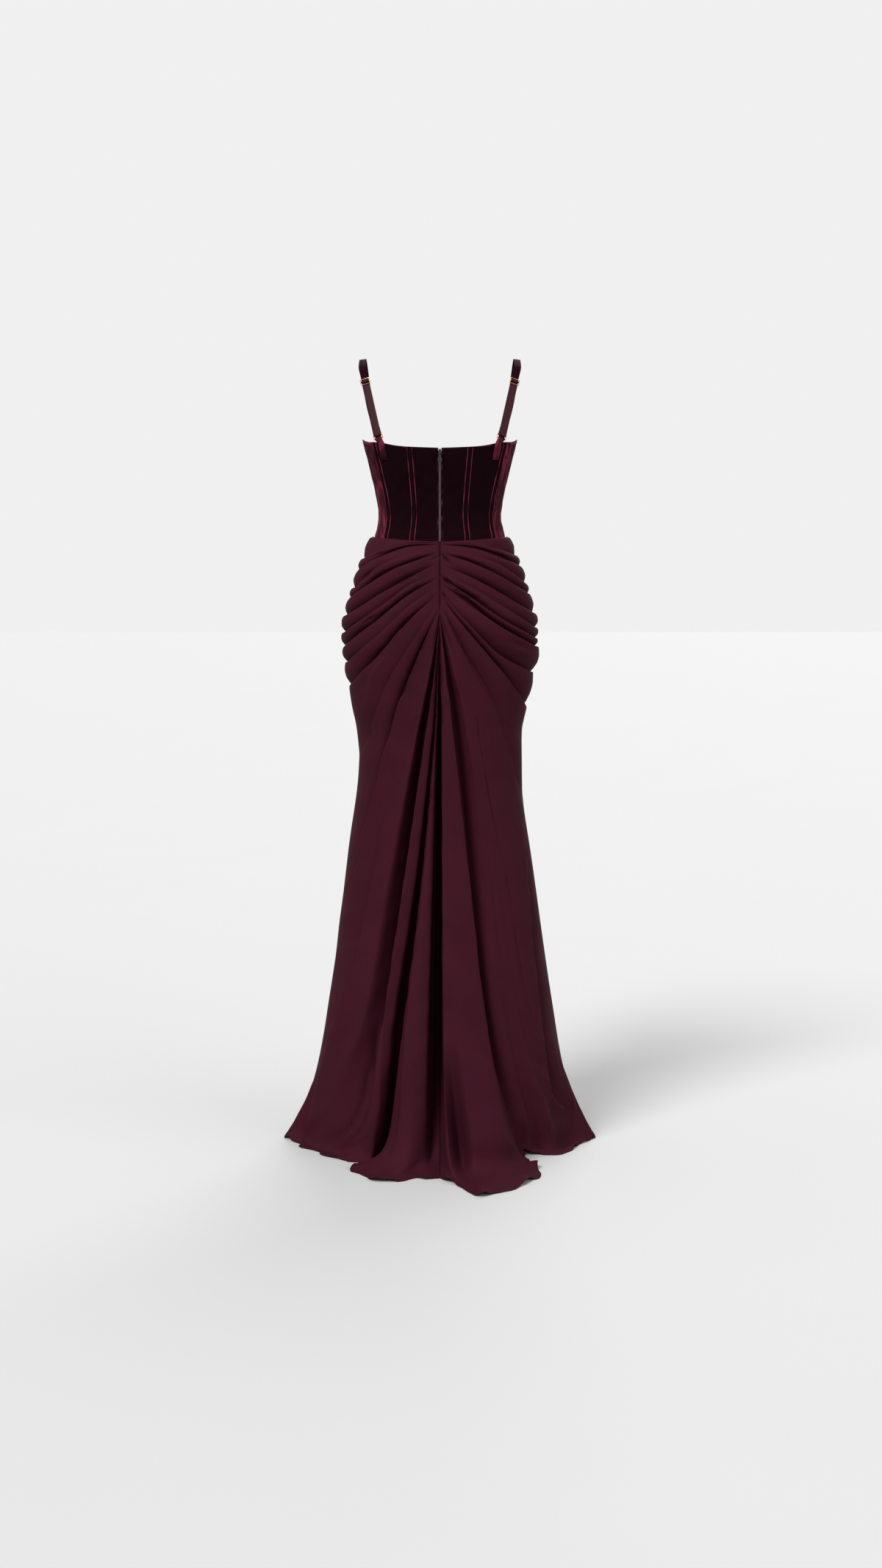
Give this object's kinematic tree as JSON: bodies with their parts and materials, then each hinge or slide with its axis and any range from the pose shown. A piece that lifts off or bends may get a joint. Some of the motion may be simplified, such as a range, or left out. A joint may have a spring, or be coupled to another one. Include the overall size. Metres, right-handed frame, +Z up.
{
  "type": "draped maxi dress",
  "caption": "Floor-length sleeveless dress with a boned velvet bodice, adjustable shoulder straps, a back zip and a draped chiffon skirt with a small train.",
  "frame": {"origin": "midway between the two shoulder straps at the height where a wearer carries them", "axes": "+Z up, the back with its zip faces -Y, +X is the right-hand side seen from behind"},
  "size_m": [0.624, 0.596, 1.5375],
  "materials": {
    "velvet": "crushed velvet pile",
    "satin": "satin ribbon",
    "chiffon": "matte crepe chiffon",
    "gold": "polished plating",
    "rose_gold": "polished plating",
    "zip_tape": "woven tape with a moulded chain",
    "zip_metal": "dark grey enamel"
  },
  "bodies": {
    "dress": {"skirt_back_left": "chiffon", "skirt_back_right": "chiffon", "bodice_back_left": "velvet", "bodice_back_right": "velvet", "bodice_mid_back_left": "velvet", "bodice_mid_back_right": "velvet", "bodice_side_left": "velvet", "bodice_side_right": "velvet", "bodice_front_side_left": "velvet", "bodice_front_side_right": "velvet", "boning_channel_inner_left": "velvet", "boning_channel_inner_right": "velvet", "boning_channel_outer_left": "velvet", "boning_channel_outer_right": "velvet", "strap_back_left": "satin", "strap_back_right": "satin", "strap_front_left": "velvet", "strap_front_right": "velvet", "strap_tab_left": "velvet", "strap_tab_right": "velvet", "strap_ring_left": "gold", "strap_ring_right": "gold", "strap_slider_left": "rose_gold", "strap_slider_right": "rose_gold", "skirt_front": "chiffon", "bodice_center_front": "velvet", "zip_tape": "zip_tape", "zip_slider": "zip_metal"},
    "zip_pull": {"zip_pull": "zip_metal"}
  },
  "joints": [
    {"name": "zip_pull_hinge", "type": "hinge", "parent": "dress", "child": "zip_pull", "pos_m": [0, -0.10837, -0.17957], "axis": [-1, 0, 0], "range_deg": [-15, 150]}
  ]
}
